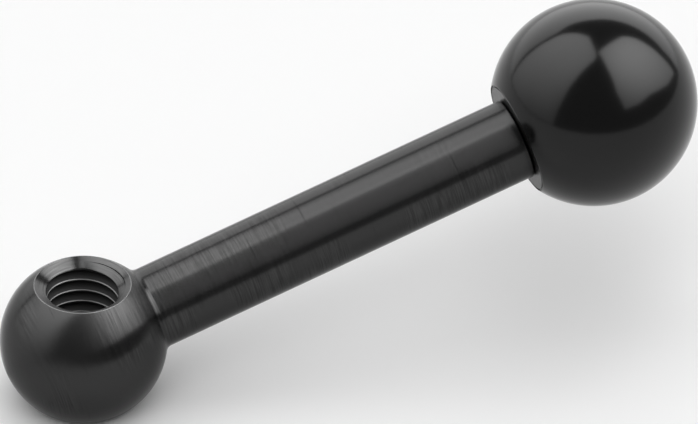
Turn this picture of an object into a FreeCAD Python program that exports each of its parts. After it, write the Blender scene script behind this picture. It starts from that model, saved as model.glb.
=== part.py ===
"""Ball handle: a turned steel lever with a tapped ball hub, and a moulded ball knob on its far end.

The origin is the centre of the hub ball. The tapped hole runs along +Z, and the shank leaves
the hub towards +X, leaning up towards the hole's mouth.
"""

import FreeCAD, Part
import math
import os

import Sketcher

doc = FreeCAD.newDocument("BallHandle")


# Driving dimensions, in millimetres and degrees
DIMENSIONS = [
    ("hub_diameter", 16, "ball at the fixed end of the lever"),
    ("shank_diameter", 8, "round bar between the hub and the knob"),
    ("reach", 64.4, "centre of the hub to the far end of the knob"),
    ("incline", 15, "rise of the shank from square to the tapped hole, in degrees"),
    ("hub_fillet", 0.8, "radius left by the turning tool between hub and shank"),
    ("shoulder_chamfer", 0.2, "broken edge where the shank meets the knob"),
    ("tap_drill", 6.8, "drilled hole for an M8 coarse thread"),
    ("countersink_diameter", 9.2, "rim of each countersink, on the ball"),
    ("countersink_angle", 120, "whole angle of each countersink, in degrees"),
    ("spigot_diameter", 5, "outside of the M5 spigot that carries the knob"),
    ("spigot_length", 7.5, "shoulder to the tip of the spigot"),
    ("spigot_chamfer", 0.6, "lead-in at the tip of the spigot"),
    ("relief_width", 1.2, "flat bottom of the thread relief beside the shoulder"),
    ("relief_diameter", 3.9, "bottom of the thread relief"),
    ("knob_diameter", 20, "ball knob"),
    ("knob_face_diameter", 11.2, "flat face of the knob, before its edge is rounded"),
    ("knob_edge", 0.15, "rounding between the flat face and the ball"),
    ("socket_depth", 9, "blind hole in the knob"),
    ("socket_mouth", 0.5, "lead-in at the mouth of the blind hole"),
    ("spigot_clearance", 0.03, "gap all round the spigot in its hole"),
]
sheet = doc.addObject("Spreadsheet::Sheet", "Sizes")
for row, (alias, value, meaning) in enumerate(DIMENSIONS, start=1):
    sheet.set(f"A{row}", alias)
    sheet.set(f"B{row}", str(value))
    sheet.set(f"C{row}", meaning)
    sheet.setAlias(f"B{row}", alias)
doc.recompute()


def size(alias):
    return float(sheet.get(alias))


def origin_plane(body, role):
    return next(feature for feature in body.Origin.OriginFeatures if feature.Role == role)


def sketch_on_xz(body, name):
    """An empty sketch on the body's XZ plane: its x is the body's X, and its y is the body's Z."""
    sketch = body.newObject("Sketcher::SketchObject", name)
    sketch.AttachmentSupport = [(origin_plane(body, "XZ_Plane"), "")]
    sketch.MapMode = "FlatFace"
    return sketch


def drive(sketch, name, constraint, expression):
    """Add a dimension to the sketch and tie it to the sheet."""
    index = sketch.addConstraint(constraint)
    sketch.renameConstraint(index, name)
    sketch.setExpression(f"Constraints.{name}", expression)


FREE = ""


def draw_outline(sketch, corners):
    """Draw straight lines from corner to corner, and tie each corner to the sheet.

    A corner is its name, its x and y, and the expressions that drive them. None in place of an
    expression puts the corner on the sketch's own axis, and FREE leaves it to its neighbours.
    """
    first_line = sketch.GeometryCount
    for (_, x0, y0, *_), (_, x1, y1, *_) in zip(corners, corners[1:]):
        start = FreeCAD.Vector(x0, y0, 0)
        end = FreeCAD.Vector(x1, y1, 0)
        sketch.addGeometry(Part.LineSegment(start, end), False)
    for line in range(first_line, first_line + len(corners) - 2):
        sketch.addConstraint(Sketcher.Constraint("Coincident", line, 2, line + 1, 1))
    for place, (name, x, y, x_rule, y_rule) in enumerate(corners):
        line, end = (first_line, 1) if place == 0 else (first_line + place - 1, 2)
        if x_rule:
            drive(sketch, f"{name}_x", Sketcher.Constraint("DistanceX", -1, 1, line, end, x), x_rule)
        elif x_rule is None:
            sketch.addConstraint(Sketcher.Constraint("PointOnObject", line, end, -2))
        if y_rule:
            drive(sketch, f"{name}_y", Sketcher.Constraint("DistanceY", -1, 1, line, end, y), y_rule)
        elif y_rule is None:
            sketch.addConstraint(Sketcher.Constraint("PointOnObject", line, end, -1))
    return first_line


def turn(body, sketch, name, axis, kind="PartDesign::Revolution"):
    """Spin the sketch right round one of its own axes, as new metal or as a cut."""
    feature = body.newObject(kind, name)
    feature.Profile = sketch
    feature.ReferenceAxis = (sketch, [axis])
    feature.Angle = 360
    doc.recompute()
    return feature


def edge_through(feature, probe):
    """The name of the circular edge that passes through a point."""
    vertex = Part.Vertex(probe)
    distances = [edge.distToShape(vertex)[0] for edge in feature.Shape.Edges]
    return f"Edge{distances.index(min(distances)) + 1}"


def round_edge(body, feature, name, probe, rule):
    fillet = body.newObject("PartDesign::Fillet", name)
    fillet.Base = (feature, [edge_through(feature, probe)])
    fillet.setExpression("Radius", rule)
    doc.recompute()
    return fillet


# Lever: hub ball, shank, shoulder and spigot, turned from one steel bar
lever = doc.addObject("PartDesign::Body", "lever")
lever.Label = "lever"

hub_radius = size("hub_diameter") / 2
shank_radius = size("shank_diameter") / 2
spigot_radius = size("spigot_diameter") / 2
relief_radius = size("relief_diameter") / 2
knob_radius = size("knob_diameter") / 2
face_radius = size("knob_face_diameter") / 2
knob_centre = math.sqrt(knob_radius**2 - face_radius**2)
knob_height = knob_centre + knob_radius
shoulder = size("reach") - knob_height
relief_end = shoulder + size("relief_width")
spigot_tip = shoulder + size("spigot_length")
hub_meets_shank = math.sqrt(hub_radius**2 - shank_radius**2)

KNOB_RADIUS = "Sizes.knob_diameter / 2"
FACE_RADIUS = "Sizes.knob_face_diameter / 2"
KNOB_HEIGHT = f"sqrt(({KNOB_RADIUS}) ^ 2 - ({FACE_RADIUS}) ^ 2) + {KNOB_RADIUS}"
SHOULDER = f"Sizes.reach - ({KNOB_HEIGHT})"
SHANK_RADIUS = "Sizes.shank_diameter / 2"
SPIGOT_RADIUS = "Sizes.spigot_diameter / 2"
RELIEF_RADIUS = "Sizes.relief_diameter / 2"
RELIEF_END = f"{SHOULDER} + Sizes.relief_width"
RUN_OUT_END = f"{RELIEF_END} + {SPIGOT_RADIUS} - {RELIEF_RADIUS}"
SPIGOT_TIP = f"{SHOULDER} + Sizes.spigot_length"

turned = sketch_on_xz(lever, "TurnedOutline")
lean = FreeCAD.Rotation(FreeCAD.Vector(0, 0, 1), size("incline"))
turned.AttachmentOffset = FreeCAD.Placement(FreeCAD.Vector(), lean)
turned.setExpression("AttachmentOffset.Rotation.Angle", "Sizes.incline")
ball = Part.Circle(FreeCAD.Vector(), FreeCAD.Vector(0, 0, 1), hub_radius)
neck_angle = math.atan2(shank_radius, hub_meets_shank)
hub_arc = turned.addGeometry(Part.ArcOfCircle(ball, neck_angle, math.pi), False)
turned.addConstraint(Sketcher.Constraint("Coincident", hub_arc, 3, -1, 1))
neck_line = draw_outline(
    turned,
    [
        ("neck", hub_meets_shank, shank_radius, FREE, SHANK_RADIUS),
        (
            "shank_end",
            shoulder - size("shoulder_chamfer"),
            shank_radius,
            f"{SHOULDER} - Sizes.shoulder_chamfer",
            SHANK_RADIUS,
        ),
        (
            "shoulder",
            shoulder,
            shank_radius - size("shoulder_chamfer"),
            SHOULDER,
            f"{SHANK_RADIUS} - Sizes.shoulder_chamfer",
        ),
        ("relief_start", shoulder, relief_radius, SHOULDER, RELIEF_RADIUS),
        ("relief_end", relief_end, relief_radius, RELIEF_END, RELIEF_RADIUS),
        (
            "spigot_start",
            relief_end + spigot_radius - relief_radius,
            spigot_radius,
            RUN_OUT_END,
            SPIGOT_RADIUS,
        ),
        (
            "spigot_end",
            spigot_tip - size("spigot_chamfer"),
            spigot_radius,
            f"{SPIGOT_TIP} - Sizes.spigot_chamfer",
            SPIGOT_RADIUS,
        ),
        (
            "tip_edge",
            spigot_tip,
            spigot_radius - size("spigot_chamfer"),
            SPIGOT_TIP,
            f"{SPIGOT_RADIUS} - Sizes.spigot_chamfer",
        ),
        ("tip", spigot_tip, 0, SPIGOT_TIP, None),
        ("hub_pole", -hub_radius, 0, FREE, None),
    ],
)
turned.addConstraint(Sketcher.Constraint("Coincident", hub_arc, 1, neck_line, 1))
turned.addConstraint(Sketcher.Constraint("Coincident", hub_arc, 2, turned.GeometryCount - 1, 2))
drive(turned, "hub_radius", Sketcher.Constraint("Radius", hub_arc, hub_radius), "Sizes.hub_diameter / 2")
doc.recompute()
bar_stock = turn(lever, turned, "TurnedBar", "H_Axis")

along = lean.Angle
neck_top = FreeCAD.Vector(
    hub_meets_shank * math.cos(along) - shank_radius * math.sin(along),
    0,
    hub_meets_shank * math.sin(along) + shank_radius * math.cos(along),
)
neck_fillet = round_edge(lever, bar_stock, "HubFillet", neck_top, "Sizes.hub_fillet")

# Tapped hole through the hub, drilled to the tapping size, with a countersink at both ends
drill_radius = size("tap_drill") / 2
rim_radius = size("countersink_diameter") / 2
half_angle = math.radians(size("countersink_angle") / 2)
rim_height = math.sqrt(hub_radius**2 - rim_radius**2)
wall_end = rim_height - (rim_radius - drill_radius) / math.tan(half_angle)
outside_radius = rim_radius + (hub_radius - rim_height) * math.tan(half_angle)

DRILL_RADIUS = "Sizes.tap_drill / 2"
RIM_RADIUS = "Sizes.countersink_diameter / 2"
HALF_ANGLE = "tan(Sizes.countersink_angle / 2 * 1 deg)"
RIM_HEIGHT = "sqrt((Sizes.hub_diameter / 2) ^ 2 - (Sizes.countersink_diameter / 2) ^ 2)"
WALL_END = f"{RIM_HEIGHT} - ({RIM_RADIUS} - {DRILL_RADIUS}) / {HALF_ANGLE}"
OUTSIDE_RADIUS = f"{RIM_RADIUS} + (Sizes.hub_diameter / 2 - {RIM_HEIGHT}) * {HALF_ANGLE}"

bore = sketch_on_xz(lever, "TappedHoleOutline")
first_wall = draw_outline(
    bore,
    [
        ("upper_centre", 0, hub_radius, None, "Sizes.hub_diameter / 2"),
        ("upper_mouth", outside_radius, hub_radius, OUTSIDE_RADIUS, "Sizes.hub_diameter / 2"),
        ("upper_wall", drill_radius, wall_end, DRILL_RADIUS, WALL_END),
        ("lower_wall", drill_radius, -wall_end, DRILL_RADIUS, f"-({WALL_END})"),
        ("lower_mouth", outside_radius, -hub_radius, OUTSIDE_RADIUS, "-Sizes.hub_diameter / 2"),
        ("lower_centre", 0, -hub_radius, None, "-Sizes.hub_diameter / 2"),
    ],
)
axis_line = bore.addGeometry(
    Part.LineSegment(FreeCAD.Vector(0, -hub_radius, 0), FreeCAD.Vector(0, hub_radius, 0)), False
)
bore.addConstraint(Sketcher.Constraint("Coincident", axis_line - 1, 2, axis_line, 1))
bore.addConstraint(Sketcher.Constraint("Coincident", axis_line, 2, first_wall, 1))
doc.recompute()
tapped_hole = turn(lever, bore, "TappedHole", "V_Axis", kind="PartDesign::Groove")

# Ball knob: moulded phenolic, with its own origin at the middle of the flat face
knob = doc.addObject("PartDesign::Body", "ball_knob")
knob.Label = "ball_knob"

socket_radius = spigot_radius + size("spigot_clearance")
SOCKET_RADIUS = f"{SPIGOT_RADIUS} + Sizes.spigot_clearance"

moulded = sketch_on_xz(knob, "KnobOutline")
ball = Part.Circle(FreeCAD.Vector(knob_centre, 0, 0), FreeCAD.Vector(0, 0, 1), knob_radius)
knob_arc = moulded.addGeometry(
    Part.ArcOfCircle(ball, 0, math.atan2(face_radius, -knob_centre)), False
)
moulded.addConstraint(Sketcher.Constraint("PointOnObject", knob_arc, 3, -1))
face_line = draw_outline(
    moulded,
    [
        ("face_edge", 0, face_radius, None, FACE_RADIUS),
        ("mouth", 0, socket_radius + size("socket_mouth"), None, f"{SOCKET_RADIUS} + Sizes.socket_mouth"),
        ("socket_start", size("socket_mouth"), socket_radius, "Sizes.socket_mouth", SOCKET_RADIUS),
        ("socket_end", size("socket_depth"), socket_radius, "Sizes.socket_depth", SOCKET_RADIUS),
        ("socket_floor", size("socket_depth"), 0, "Sizes.socket_depth", None),
        ("far_end", knob_height, 0, FREE, None),
    ],
)
moulded.addConstraint(Sketcher.Constraint("Coincident", knob_arc, 2, face_line, 1))
moulded.addConstraint(Sketcher.Constraint("Coincident", knob_arc, 1, moulded.GeometryCount - 1, 2))
drive(moulded, "ball_radius", Sketcher.Constraint("Radius", knob_arc, knob_radius), KNOB_RADIUS)
doc.recompute()
blank = turn(knob, moulded, "MouldedBall", "H_Axis")
round_edge(knob, blank, "FaceEdge", FreeCAD.Vector(0, 0, face_radius), "Sizes.knob_edge")

knob.Placement.Rotation = FreeCAD.Rotation(FreeCAD.Vector(0, -1, 0), size("incline"))
knob.setExpression("Placement.Rotation.Angle", "Sizes.incline")
knob.setExpression("Placement.Base.x", f"({SHOULDER}) * cos(Sizes.incline * 1 deg)")
knob.setExpression("Placement.Base.z", f"({SHOULDER}) * sin(Sizes.incline * 1 deg)")
doc.recompute()

# Check the document, then write one file for each piece
for item in doc.Objects:
    if "Invalid" in item.State or "Error" in item.State:
        raise RuntimeError(f"{item.Label} did not build: {item.State}")
if tapped_hole.Shape.Volume >= neck_fillet.Shape.Volume:
    raise RuntimeError("the tapped hole removed nothing")
os.makedirs("parts", exist_ok=True)
for body in (lever, knob):
    if body.Shape.isNull() or not body.Shape.isValid():
        raise RuntimeError(f"{body.Label} has no valid shape")
    body.Shape.exportStep(f"parts/{body.Label}.step")
    print(body.Label, "volume", round(body.Shape.Volume, 2), body.Shape.BoundBox)
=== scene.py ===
"""A ball handle: a turned, blackened steel lever with a tapped ball hub, and a glossy ball knob."""

import math

import bmesh
import bpy
from mathutils import Matrix, Vector, geometry


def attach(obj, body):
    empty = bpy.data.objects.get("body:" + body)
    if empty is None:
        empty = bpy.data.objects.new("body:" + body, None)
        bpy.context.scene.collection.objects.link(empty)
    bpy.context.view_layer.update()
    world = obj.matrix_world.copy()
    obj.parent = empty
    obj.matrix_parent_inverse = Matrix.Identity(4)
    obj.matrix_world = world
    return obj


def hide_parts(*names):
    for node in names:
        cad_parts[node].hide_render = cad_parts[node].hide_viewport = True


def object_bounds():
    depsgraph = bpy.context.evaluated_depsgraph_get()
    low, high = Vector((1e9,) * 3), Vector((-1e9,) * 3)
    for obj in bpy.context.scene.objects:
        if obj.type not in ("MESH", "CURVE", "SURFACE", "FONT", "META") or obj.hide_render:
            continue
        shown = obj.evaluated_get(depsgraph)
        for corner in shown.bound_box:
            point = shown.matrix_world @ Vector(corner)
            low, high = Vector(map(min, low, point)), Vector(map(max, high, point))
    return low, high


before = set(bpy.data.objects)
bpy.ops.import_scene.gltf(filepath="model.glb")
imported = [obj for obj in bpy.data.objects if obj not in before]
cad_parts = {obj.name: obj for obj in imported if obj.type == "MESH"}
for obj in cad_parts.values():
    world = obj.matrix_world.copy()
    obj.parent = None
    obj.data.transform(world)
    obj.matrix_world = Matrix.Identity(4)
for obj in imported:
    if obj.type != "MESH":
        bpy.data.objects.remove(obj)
cad_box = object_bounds()


# Lever. One piece of free-cutting steel bar, turned to a ball, a shank and a spigot, cross drilled
# and tapped M8 through the ball, countersunk at both mouths, then black oxidised and oiled. The
# tool leaves fine rings round the lever's own axis everywhere but in the countersinks.
MM = 0.001
LEAN = math.radians(15)
ALONG = Vector((math.cos(LEAN), 0, math.sin(LEAN)))
UP = Vector((0, 0, 1))

hub_r = 8.0
shank_r = 4.0
neck_fillet = 0.8
knob_r = 10.0
knob_face_r = 5.6
knob_centre = 54.4
shoulder = knob_centre - math.sqrt(knob_r**2 - knob_face_r**2)
shoulder_chamfer = 0.2
relief_r = 1.95
relief_width = 1.2
spigot_r = 2.5
spigot_length = 7.5
spigot_chamfer = 0.6

rim_r = 4.6
rim_rounding = 0.1
countersink_slope = math.radians(30)
tap_drill_r = 3.4
tap_edge = 0.25

thread_pitch = 1.25
thread_root_r = 4.08
thread_root_flat = 0.28
thread_flank = math.radians(30)
# each crest is worn at its corners, and the cutter reaches a little further in than the hole
crest_edge = 0.07
cutter_reach = 0.03
# seen from above, a crest is at this height on the side of the hole away from the camera
crest_height_at_back = 4.51
back_of_hole = math.radians(67.9)
turns_each_way = 7
steps_per_turn = 144

# facets round each turned surface, and the spacing of the corners on the hub's skin
columns = 192
hub_spacing = 0.26
hub_edge_gap = 0.55 * hub_spacing


def arc(cx, cy, radius, start, end, steps):
    """Points on an arc, from one angle to the other, in degrees."""
    angles = [math.radians(start + (end - start) * step / steps) for step in range(steps + 1)]
    return [(cx + radius * math.cos(a), cy + radius * math.sin(a)) for a in angles]


def straight(start, end, steps):
    """Points on a line, both ends included."""
    (x0, y0), (x1, y1) = start, end
    return [(x0 + (x1 - x0) * s / steps, y0 + (y1 - y0) * s / steps) for s in range(steps + 1)]


def spun(bm, profile, axis, side, count):
    """Spin a profile of (along, out) points round an axis through the origin, in millimetres."""
    across = axis.cross(side)
    rings = []
    for along, out in profile:
        if out < 1e-6:
            rings.append([bm.verts.new(axis * along * MM)])
            continue
        ring = []
        for column in range(count):
            turn = 2 * math.pi * column / count
            spoke = side * math.cos(turn) + across * math.sin(turn)
            ring.append(bm.verts.new((axis * along + spoke * out) * MM))
        rings.append(ring)
    for near, far in zip(rings, rings[1:]):
        for column in range(count):
            after = (column + 1) % count
            corners = [near[column % len(near)], near[after % len(near)]]
            corners += [far[after % len(far)], far[column % len(far)]]
            face = list(dict.fromkeys(corners))
            if len(face) > 2:
                bm.faces.new(face)
    return rings


def mesh_object(name, bm, merge=1e-7):
    """Close the seams between the parts of a mesh, turn its faces outward and shade it smooth."""
    bmesh.ops.remove_doubles(bm, verts=bm.verts, dist=merge)
    bmesh.ops.recalc_face_normals(bm, faces=bm.faces)
    mesh = bpy.data.meshes.new(name)
    bm.to_mesh(mesh)
    bm.free()
    mesh.polygons.foreach_set("use_smooth", [True] * len(mesh.polygons))
    obj = bpy.data.objects.new(name, mesh)
    bpy.context.scene.collection.objects.link(obj)
    return obj


def rounded_rim(slope):
    """Centre of the small arc between the ball and a countersink cone, and the cone's normal.

    Both are (out, up) from the hub's centre. The cone passes through the rim and rises outward.
    """
    rise = math.sqrt(hub_r**2 - rim_r**2)
    along = (math.cos(slope), math.sin(slope))
    normal = (-math.sin(slope), math.cos(slope))
    base = (rim_r - normal[0] * rim_rounding, rise - normal[1] * rim_rounding)
    half = base[0] * along[0] + base[1] * along[1]
    rest = base[0] ** 2 + base[1] ** 2 - (hub_r - rim_rounding) ** 2
    slide = -half + math.sqrt(half**2 - rest)
    centre = (base[0] + along[0] * slide, base[1] + along[1] * slide)
    return centre, normal


def hub_surface(bm, caps):
    """The ball's skin, with a round opening at each cap: (axis, angular radius, first spoke).

    Evenly spread points cover the ball, and the openings' own corners bound them, so that the
    skin meets the neck and the two countersinks corner to corner.
    """
    pole = caps[0][0]
    side = pole.orthogonal().normalized()
    across = pole.cross(side)

    def flat(direction):
        """Stereographic map from the first cap's middle, which keeps circles round."""
        scale = 1 / (1 - direction.dot(pole))
        return Vector((direction.dot(side) * scale, direction.dot(across) * scale))

    directions, edges = [], []
    for axis, radius, start in caps:
        first = len(directions)
        other = axis.cross(start)
        for column in range(columns):
            turn = 2 * math.pi * column / columns
            spoke = start * math.cos(turn) + other * math.sin(turn)
            directions.append(axis * math.cos(radius) + spoke * math.sin(radius))
            edges.append((first + column, first + (column + 1) % columns))
    area_each = hub_spacing**2 * math.sqrt(3) / 2
    golden = math.pi * (3 - math.sqrt(5))
    total = round(4 * math.pi * hub_r**2 / area_each)
    clear = hub_edge_gap / hub_r
    for index in range(total):
        height = 1 - 2 * (index + 0.5) / total
        ring = math.sqrt(1 - height**2)
        direction = Vector((ring * math.cos(golden * index), ring * math.sin(golden * index), height))
        if all(direction.angle(axis) > radius + clear for axis, radius, _ in caps):
            directions.append(direction)
    points, _, faces, *_ = geometry.delaunay_2d_cdt([flat(d) for d in directions], edges, [], 0, 1e-9)
    assert len(points) == len(directions)
    verts = [bm.verts.new(direction * hub_r * MM) for direction in directions]
    for face in faces:
        middle = sum((directions[i] for i in face), Vector()).normalized()
        if all(middle.angle(axis) > radius for axis, radius, _ in caps):
            bm.faces.new([verts[i] for i in face])


def thread_cutter():
    """A helical tooth of the thread's own section, long enough to leave the hub at both ends."""
    half_root = thread_root_flat / 2
    edge_r = tap_drill_r + crest_edge
    half_edge = half_root + (thread_root_r - edge_r) * math.tan(thread_flank)
    # past the worn corner the tooth widens at 45 degrees
    inner_r = tap_drill_r - cutter_reach
    half_mouth = half_edge + edge_r - inner_r
    below = [(thread_root_r, -half_root), (edge_r, -half_edge), (inner_r, -half_mouth)]
    section = below + [(r, -dz) for r, dz in reversed(below)]
    root_height = crest_height_at_back + thread_pitch / 2
    steps = turns_each_way * steps_per_turn
    bm = bmesh.new()
    rings = []
    for step in range(-steps, steps + 1):
        turn = 2 * math.pi * step / steps_per_turn
        lift = root_height + thread_pitch * (turn - back_of_hole) / (2 * math.pi)
        if abs(lift) > hub_r + 1:
            continue
        ring = [
            bm.verts.new(Vector((r * math.cos(turn), r * math.sin(turn), lift + dz)) * MM)
            for r, dz in section
        ]
        rings.append(ring)
    for near, far in zip(rings, rings[1:]):
        for corner in range(len(section)):
            after = (corner + 1) % len(section)
            bm.faces.new([near[corner], near[after], far[after], far[corner]])
    bm.faces.new(rings[0])
    bm.faces.new(rings[-1])
    return mesh_object("thread_cutter", bm)


def lever_mesh():
    """The turned bar with its drilled and countersunk hole, before the thread is cut."""
    bm = bmesh.new()
    # neck fillet, shank, shoulder, relief and spigot, about the lever's own axis
    fillet_out = shank_r + neck_fillet
    fillet_along = math.sqrt((hub_r + neck_fillet) ** 2 - fillet_out**2)
    neck_angle = math.atan2(fillet_out, fillet_along)
    tip = shoulder + spigot_length
    profile = arc(fillet_along, fillet_out, neck_fillet, 180 + math.degrees(neck_angle), 270, 12)
    profile += straight((fillet_along, shank_r), (shoulder - shoulder_chamfer, shank_r), 40)[1:]
    profile += [
        (shoulder, shank_r - shoulder_chamfer),
        (shoulder, relief_r),
        (shoulder + relief_width, relief_r),
        (shoulder + relief_width + spigot_r - relief_r, spigot_r),
        (tip - spigot_chamfer, spigot_r),
        (tip, spigot_r - spigot_chamfer),
        (tip, 0),
    ]
    side = Vector((0, 1, 0))
    spun(bm, profile, ALONG, side, columns)

    # the drilled hole and its two countersinks, about the hole's axis
    centre, normal = rounded_rim(countersink_slope)
    ball_end = math.degrees(math.atan2(centre[1], centre[0]))
    cone_end = math.degrees(math.atan2(normal[1], normal[0]))
    rim = [(up, out) for out, up in arc(*centre, rim_rounding, ball_end, cone_end, 8)]
    cone_up, cone_out = rim[-1]
    # the small rounding where the cone turns down into the hole, tangent to both
    edge_out = tap_drill_r + tap_edge
    edge_start = edge_out - tap_edge * math.sin(countersink_slope)
    cone_foot_up = cone_up - (cone_out - edge_start) * math.tan(countersink_slope)
    edge_up = cone_foot_up - tap_edge * math.cos(countersink_slope)
    edge = arc(edge_up, edge_out, tap_edge, -math.degrees(countersink_slope), -90, 8)
    upper = rim + straight(rim[-1], edge[0], 6)[1:-1] + edge
    lower = [(-up, out) for up, out in reversed(upper)]
    wall = straight(upper[-1], lower[0], 24)[1:-1]
    spun(bm, upper + wall + lower, UP, side, columns)

    rim_angle = math.atan2(rim[0][1], rim[0][0])
    caps = [(UP, rim_angle, side), (-UP, rim_angle, side), (ALONG, neck_angle, side)]
    hub_surface(bm, caps)
    return mesh_object("lever_body", bm, merge=2e-6)


lever = lever_mesh()
cutter = thread_cutter()
cut = lever.modifiers.new("tapped_thread", "BOOLEAN")
cut.operation = "DIFFERENCE"
cut.solver = "EXACT"
cut.object = cutter
depsgraph = bpy.context.evaluated_depsgraph_get()
threaded = bpy.data.meshes.new_from_object(lever.evaluated_get(depsgraph))
lever.modifiers.clear()
lever.data = threaded
bpy.data.objects.remove(cutter)
threaded.polygons.foreach_set("use_smooth", [True] * len(threaded.polygons))
threaded.set_sharp_from_angle(angle=math.radians(24))


def linear(code):
    """A hex sRGB colour as linear red, green, blue and full opacity."""
    channels = [int(code[i : i + 2], 16) / 255 for i in (1, 3, 5)]
    return [c / 12.92 if c <= 0.04045 else ((c + 0.055) / 1.055) ** 2.4 for c in channels] + [1]


def add_node(tree, kind, settings=None, **inputs):
    """Add a node, set its properties, and set or link its inputs by name, or by place as i0, i1."""
    node = tree.nodes.new(kind)
    for name, value in (settings or {}).items():
        setattr(node, name, value)
    for name, value in inputs.items():
        by_place = name[0] == "i" and name[1:].isdigit()
        socket = node.inputs[int(name[1:]) if by_place else name.replace("_", " ")]
        if isinstance(value, bpy.types.NodeSocket):
            tree.links.new(value, socket)
        else:
            socket.default_value = value
    return node


def ring_place(tree, axis, grain_mm, length_mm):
    """Coordinates that draw any noise out into rings round an axis: one unit is one grain across."""
    place = add_node(tree, "ShaderNodeTexCoord").outputs["Object"]
    if axis == UP:
        flat = add_node(
            tree, "ShaderNodeVectorMath", {"operation": "MULTIPLY"}, i0=place, i1=(1, 1, 0)
        ).outputs["Vector"]
        out = add_node(
            tree, "ShaderNodeVectorMath", {"operation": "LENGTH"}, i0=flat
        ).outputs["Value"]
        parts = add_node(tree, "ShaderNodeSeparateXYZ", Vector=flat)
        place = add_node(
            tree, "ShaderNodeCombineXYZ", X=out, Y=parts.outputs["X"], Z=parts.outputs["Y"]
        ).outputs["Vector"]
    else:
        place = add_node(
            tree, "ShaderNodeVectorRotate", {"rotation_type": "Y_AXIS"}, Vector=place, Angle=LEAN
        ).outputs["Vector"]
    scale = (1 / (grain_mm * MM), 1 / (length_mm * MM), 1 / (length_mm * MM))
    return add_node(
        tree, "ShaderNodeVectorMath", {"operation": "MULTIPLY"}, i0=place, i1=scale
    ).outputs["Vector"]


def blackened_steel(name, axis, roughness, spread, depth_mm, deep, rubbed, scratched):
    """Black oxide over bare steel, cut in rings round an axis: a dark sheen drawn out across them.

    The tool's fine rings show as faint streaks, and a few deeper ones as darker scratches. The
    roughness is the sheen's width along the rings, and the spread is how far it is drawn out.
    """
    material = bpy.data.materials.new(name)
    material.use_nodes = True
    tree = material.node_tree
    shader = tree.nodes["Principled BSDF"]
    shader.inputs["Metallic"].default_value = 1
    shader.inputs["Roughness"].default_value = roughness
    shader.inputs["Anisotropic"].default_value = spread
    # even a glancing reflection stays a little dim under the oxide
    shader.inputs["Specular Tint"].default_value = linear("#e4e4e4")
    across_rings = add_node(tree, "ShaderNodeCombineXYZ", X=axis.x, Y=axis.y, Z=axis.z)
    tree.links.new(across_rings.outputs["Vector"], shader.inputs["Tangent"])
    # feed marks, about 0.2 mm apart and shorter than a turn, with finer ones between them
    ring_grain_mm = 0.11
    ring_length_mm = 3.0
    rings = add_node(
        tree,
        "ShaderNodeTexNoise",
        Vector=ring_place(tree, axis, ring_grain_mm, ring_length_mm),
        Scale=1.0,
        Detail=2.0,
        Roughness=0.6,
    ).outputs["Fac"]
    bump = add_node(tree, "ShaderNodeBump", Strength=1.0, Distance=depth_mm * MM, Height=rings)
    tree.links.new(bump.outputs["Normal"], shader.inputs["Normal"])
    # the oxide is thicker in the deep rings and rubbed thin on the high ones, but in patches a few
    # millimetres wide it has been polished even and the streaks fade out
    patch_mm = 6.0
    patch_place = ring_place(tree, axis, patch_mm, patch_mm)
    patches = add_node(
        tree, "ShaderNodeTexNoise", Vector=patch_place, Scale=1.0, Detail=0.0
    ).outputs["Fac"]
    kept = add_node(tree, "ShaderNodeMapRange", Value=patches, From_Min=0.42, From_Max=0.58)
    tone = add_node(tree, "ShaderNodeMapRange", Value=rings, From_Min=0.35, From_Max=0.65)
    faded = add_node(
        tree,
        "ShaderNodeMix",
        {"data_type": "FLOAT"},
        i0=kept.outputs["Result"],
        i2=0.5,
        i3=tone.outputs["Result"],
    )
    cut = add_node(
        tree,
        "ShaderNodeMix",
        {"data_type": "RGBA"},
        i0=faded.outputs[0],
        i6=linear(deep),
        i7=linear(rubbed),
    )
    # oil lies dark in the few deeper scratches
    scratch_length_mm = 6.0
    scratch_place = ring_place(tree, axis, ring_grain_mm, scratch_length_mm)
    marks = add_node(
        tree, "ShaderNodeTexNoise", Vector=scratch_place, Scale=1.0, Detail=0.0
    ).outputs["Fac"]
    clear = add_node(tree, "ShaderNodeMapRange", Value=marks, From_Min=0.14, From_Max=0.22)
    colour = add_node(
        tree,
        "ShaderNodeMix",
        {"data_type": "RGBA"},
        i0=clear.outputs["Result"],
        i6=linear(scratched),
        i7=cut.outputs[2],
    )
    tree.links.new(colour.outputs[2], shader.inputs["Base Color"])
    return material


def matt_oxide(name, code, roughness, gloss):
    """Thick black oxide that nothing has rubbed: nearly black and almost without shine."""
    material = bpy.data.materials.new(name)
    material.use_nodes = True
    shader = material.node_tree.nodes["Principled BSDF"]
    shader.inputs["Base Color"].default_value = linear(code)
    shader.inputs["Roughness"].default_value = roughness
    shader.inputs["Specular IOR Level"].default_value = gloss
    return material


lever.data.materials.clear()
# the ball and shank: fine rings that draw every light out along the bar, satin and nearly black
turned = blackened_steel(
    "blackened_turned_steel", ALONG, 0.27, 0.9, 0.01, "#303030", "#3f3f3f", "#161616"
)
# the countersinks: the same sheen, but in rings round the hole, and painted a little lighter than the
# turned steel: a painted highlight for the brighter sheen they show
bored = blackened_steel(
    "blackened_bored_steel", UP, 0.25, 0.97, 0.004, "#3d3d3d", "#4e4e4e", "#202020"
)
# the thread's flanks: oxide as it came from the bath, an even dark grey deep into the hole
tapped = matt_oxide("blackened_tapped_steel", "#2b2b2b", 0.5, 0.1)
# rims and crests: fine lines painted lighter than the rest, a painted highlight that stands in for
# the light their edges catch
painted_highlight_edges = blackened_steel("painted_highlight_steel_edges", UP, 0.5, 0.0, 0.001, "#5c5c5c", "#727272", "#303030")
finishes = [turned, bored, tapped, painted_highlight_edges]
for material in finishes:
    lever.data.materials.append(material)
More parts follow.
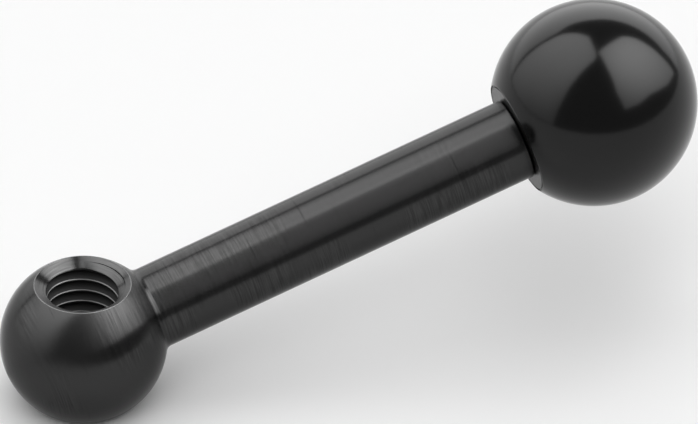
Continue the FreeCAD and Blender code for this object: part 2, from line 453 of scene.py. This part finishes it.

# What each facet is, from where its middle lies. The turned skin is the first finish and stays as
# it is. A little below the countersink its cone is crossed by the thread's run-out, and a crest's
# corner is a facet close to the hole's wall that doesn't stand upright. The rims' roundings and the
# crests' corners carry the painted highlight.
rim_centre, _ = rounded_rim(countersink_slope)
rim_height = math.sqrt(hub_r**2 - rim_r**2)
inside_skin = hub_r - 0.004
cone_play = 0.02
run_out_depth = 0.45
corner_tilt = 0.3
for face in lever.data.polygons:
    spot = face.center / MM
    out = math.hypot(spot.x, spot.y)
    # a rim's rounding: painted highlight, a lighter colour for the light its edge catches
    if math.hypot(out - rim_centre[0], abs(spot.z) - rim_centre[1]) < rim_rounding:
        face.material_index = finishes.index(painted_highlight_edges)
    elif out < rim_r - rim_rounding / 4 and spot.length < inside_skin:
        above_cone = abs(spot.z) - (rim_height - (rim_r - out) * math.tan(countersink_slope))
        # where the thread runs out into the cone, its lower flank has the countersink's finish
        run_out = above_cone > -run_out_depth and face.normal.z * spot.z > 0
        highlight_crest_corner = out < tap_drill_r + crest_edge and abs(face.normal.z) > corner_tilt
        if above_cone > -cone_play or run_out:
            face.material_index = finishes.index(bored)
        else:
            # a crest's corner gets the painted highlight, the rest of the thread the matt oxide
            face.material_index = finishes.index(painted_highlight_edges if highlight_crest_corner else tapped)
lever.name = "turned_lever"
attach(lever, "root")
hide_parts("lever")


# Ball knob. A black phenolic moulding, screwed tight on the spigot, with one flat face against the
# shoulder. The mould was polished, so it has a clear gloss like black glass.
knob_edge = 0.1
# the groove inside the edge, the flat land that parts them, and how far each wall leans
groove_width = 0.22
groove_depth = 0.12
groove_land = 0.02
groove_taper = 0.03
socket_clearance = 0.03
socket_mouth = 0.5
socket_depth = 9.0
knob_columns = 256


def knob_mesh():
    """The ball, its flat face and the blind hole for the spigot."""
    bm = bmesh.new()
    face = shoulder
    # a tight rounding between the ball and the flat face, and inside it the fine groove that the
    # facing tool leaves: a thin light line and a dark one beside it
    out = math.sqrt((knob_r - knob_edge) ** 2 - (knob_centre - face - knob_edge) ** 2)
    tangent = math.degrees(math.atan2(out, face + knob_edge - knob_centre))
    profile = arc(knob_centre, 0, knob_r, 0, tangent, 120)
    profile[0] = (knob_centre + knob_r, 0)
    profile += arc(face + knob_edge, out, knob_edge, tangent, 180, 10)[1:]
    profile += [
        (face, out - groove_land),
        (face + groove_depth, out - groove_land - groove_taper),
        (face + groove_depth, out - groove_width + groove_taper),
        (face, out - groove_width),
    ]
    socket_r = spigot_r + socket_clearance
    profile += straight(profile[-1], (face, socket_r + socket_mouth), 8)[1:]
    profile += [
        (face + socket_mouth, socket_r),
        (face + socket_depth, socket_r),
        (face + socket_depth, 0),
    ]
    spun(bm, profile, ALONG, Vector((0, 1, 0)), knob_columns)
    return mesh_object("phenolic_ball_knob", bm)


def black_phenolic(name, roughness, grain_depth_mm=0, ior=1.35):
    """Black phenolic: like black glass from a polished mould, and dull where a tool has cut it."""
    material = bpy.data.materials.new(name)
    material.use_nodes = True
    tree = material.node_tree
    shader = tree.nodes["Principled BSDF"]
    shader.inputs["Base Color"].default_value = linear("#070707")
    shader.inputs["Roughness"].default_value = roughness
    shader.inputs["IOR"].default_value = ior
    if grain_depth_mm:
        place = add_node(tree, "ShaderNodeTexCoord").outputs["Object"]
        grain_mm = 0.15
        grain = add_node(
            tree, "ShaderNodeTexNoise", Vector=place, Scale=1 / (grain_mm * MM), Detail=3.0
        ).outputs["Fac"]
        bump = add_node(
            tree, "ShaderNodeBump", Strength=1.0, Distance=grain_depth_mm * MM, Height=grain
        )
        tree.links.new(bump.outputs["Normal"], shader.inputs["Normal"])
    return material


knob = knob_mesh()
knob.data.set_sharp_from_angle(angle=math.radians(30))
# the ball, with a clear gloss
polished = black_phenolic("polished_black_phenolic", 0.15)
# the flat face, dulled by the fine grain of a facing cut
faced = black_phenolic("faced_black_phenolic", 0.32, grain_depth_mm=0.04)
# the edge between them, burnished by the tool: a thin line that catches more light
burnished = black_phenolic("burnished_phenolic_edge", 0.25, ior=1.9)
knob_finishes = [polished, faced, burnished]
for material in knob_finishes:
    knob.data.materials.append(material)
for face in knob.data.polygons:
    spot = face.center / MM
    beyond_face = spot.dot(ALONG) - shoulder
    from_axis = (spot - ALONG * spot.dot(ALONG)).length
    in_socket = (spot - ALONG * knob_centre).length < knob_r - 1
    if face.normal.dot(ALONG) < -0.99 or in_socket:
        face.material_index = knob_finishes.index(faced)
    elif beyond_face < knob_edge / 2 and from_axis > knob_face_r - groove_width:
        face.material_index = knob_finishes.index(burnished)
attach(knob, "root")
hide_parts("ball_knob")


# Studio: a pale floor under one big soft lamp, in a dim room. Two cloth reflectors meet over the
# handle and a third stands behind it, and they are what the polished surfaces show; each is
# brightest where its lamp is and fades towards its edges.
floor_height = cad_box[0].z
floor_reach = 3.0
diffuser_distance = 0.9
overhead_size = 3.0
overhead_height = 1.2


def stage_sheet(name, corners, material, seen=True):
    """A flat or bent sheet of the studio, fanned out from its middle.

    One that isn't seen shows in polished surfaces only, and throws no light on the floor.
    """
    middle = sum(corners, Vector()) / len(corners)
    count = len(corners)
    faces = [(0, 1 + i, 1 + (i + 1) % count) for i in range(count)]
    mesh = bpy.data.meshes.new(name)
    mesh.from_pydata([middle] + corners, [], faces)
    obj = bpy.data.objects.new(name, mesh)
    obj.data.materials.append(material)
    obj.visible_camera = obj.visible_diffuse = seen
    bpy.context.scene.collection.objects.link(obj)
    return obj


def from_handle(azimuth, elevation):
    """Where a diffuser is met, looking out from the handle; azimuth 0 is along +Y, 90 along +X."""
    turn, lift = math.radians(azimuth), math.radians(elevation)
    middle = ALONG * knob_centre / 2 * MM
    return middle + diffuser_distance * Vector(
        (math.sin(turn) * math.cos(lift), math.cos(turn) * math.cos(lift), math.sin(lift))
    )


def matt_paper(name, code):
    """Matt coated paper, with no gloss of its own: an even, nearly white ground."""
    material = bpy.data.materials.new(name)
    material.use_nodes = True
    shader = material.node_tree.nodes["Principled BSDF"]
    shader.inputs["Base Color"].default_value = linear(code)
    shader.inputs["Roughness"].default_value = 0.9
    shader.inputs["Specular IOR Level"].default_value = 0
    return material


def lit_cloth(name, lamp, bright, faint, reach):
    """Diffuser cloth with a lamp behind it, bright in front of the lamp and faint past its reach.

    It shows in the handle as a soft patch with clear edges that is brighter at one side.
    """
    material = bpy.data.materials.new(name)
    material.use_nodes = True
    tree = material.node_tree
    tree.nodes.remove(tree.nodes["Principled BSDF"])
    place = add_node(tree, "ShaderNodeTexCoord").outputs["Object"]
    away = add_node(
        tree, "ShaderNodeVectorMath", {"operation": "DISTANCE"}, i0=place, i1=from_handle(*lamp)
    ).outputs["Value"]
    strength = add_node(
        tree,
        "ShaderNodeMapRange",
        {"interpolation_type": "SMOOTHSTEP"},
        Value=away,
        From_Max=reach,
        To_Min=bright,
        To_Max=faint,
    ).outputs["Result"]
    glow = add_node(tree, "ShaderNodeEmission", Strength=strength)
    tree.links.new(glow.outputs["Emission"], tree.nodes["Material Output"].inputs["Surface"])
    return material


floor_corners = [
    Vector((x * floor_reach, y * floor_reach, floor_height))
    for x, y in ((-1, -1), (1, -1), (1, 1), (-1, 1))
]
stage_sheet("floor", floor_corners, matt_paper("pale_floor", "#f8f8f8"))

# each diffuser: the directions of its corners, then its lamp's direction, the cloth's bright and
# faint levels, and the lamp's reach in metres
left_corners = [(128, 87), (14, 67), (0, 58), (-12, 48), (-24, 39), (-33, 24), (-37, 11), (-40, 1)]
left_corners += [(-80, 1), (-113, 1), (-116, 28), (-118, 47), (-126, 68), (-167, 83)]
right_corners = [(82, 84), (68, 71), (64, 51), (69, 42), (77, 31), (82, 21), (86, 6), (103, 11)]
right_corners += [(128, 21), (147, 21), (165, 22), (168, 42), (165, 55), (159, 70), (123, 83)]
rear_corners = [(-38, 0), (-29, 21), (-24, 32), (-13, 41), (1, 41), (24, 41), (38, 37), (56, 29)]
rear_corners += [(74, 16), (79, 0), (50, 0), (20, 0), (-10, 0)]
diffusers = {
    "left_diffuser": (left_corners, ((-30, 68), 4.5, 0.9, 1.2)),
    "right_diffuser": (right_corners, ((105, 55), 6.8, 1.8, 0.85)),
    "rear_diffuser": (rear_corners, ((25, 40), 2.8, 1.2, 1.2)),
}
for name, (corners, lamp) in diffusers.items():
    cloth = lit_cloth(name + "_cloth", *lamp)
    stage_sheet(name, [from_handle(*spot) for spot in corners], cloth, seen=False)

world = bpy.data.worlds.new("studio")
bpy.context.scene.world = world
world.use_nodes = True
world.node_tree.nodes["Background"].inputs["Color"].default_value = linear("#ffffff")
world.node_tree.nodes["Background"].inputs["Strength"].default_value = 0.25

lamp_data = bpy.data.lights.new("overhead_lamp", "AREA")
lamp_data.shape = "SQUARE"
lamp_data.size = overhead_size
lamp_data.energy = 54
overhead_lamp = bpy.data.objects.new("overhead_lamp", lamp_data)
overhead_lamp.location = (0, 0, overhead_height)
overhead_lamp.visible_glossy = False
bpy.context.scene.collection.objects.link(overhead_lamp)


# Camera. A long lens at the photograph's angle, from in front, to the left and above, so that the
# far knob is hardly smaller than it would be close by.
camera_data = bpy.data.cameras.new("camera")
focal_px = 7500
image_width_px = 698
camera_data.sensor_width = 36
camera_data.lens = camera_data.sensor_width * focal_px / image_width_px
camera = bpy.data.objects.new("camera", camera_data)
aim = Vector((27.31, 0.3, 7.55)) * MM
camera_distance = 0.71818
azimuth, elevation, roll = math.radians(-22.11), math.radians(35.66), math.radians(0.307)
away = Vector(
    (
        math.sin(azimuth) * math.cos(elevation),
        -math.cos(azimuth) * math.cos(elevation),
        math.sin(elevation),
    )
)
camera.location = aim + away * camera_distance
facing = away.to_track_quat("Z", "Y").to_matrix()
camera.rotation_euler = (facing @ Matrix.Rotation(roll, 3, "Z")).to_euler()
bpy.context.scene.collection.objects.link(camera)
bpy.context.scene.camera = camera
bpy.context.scene.view_settings.view_transform = "Standard"
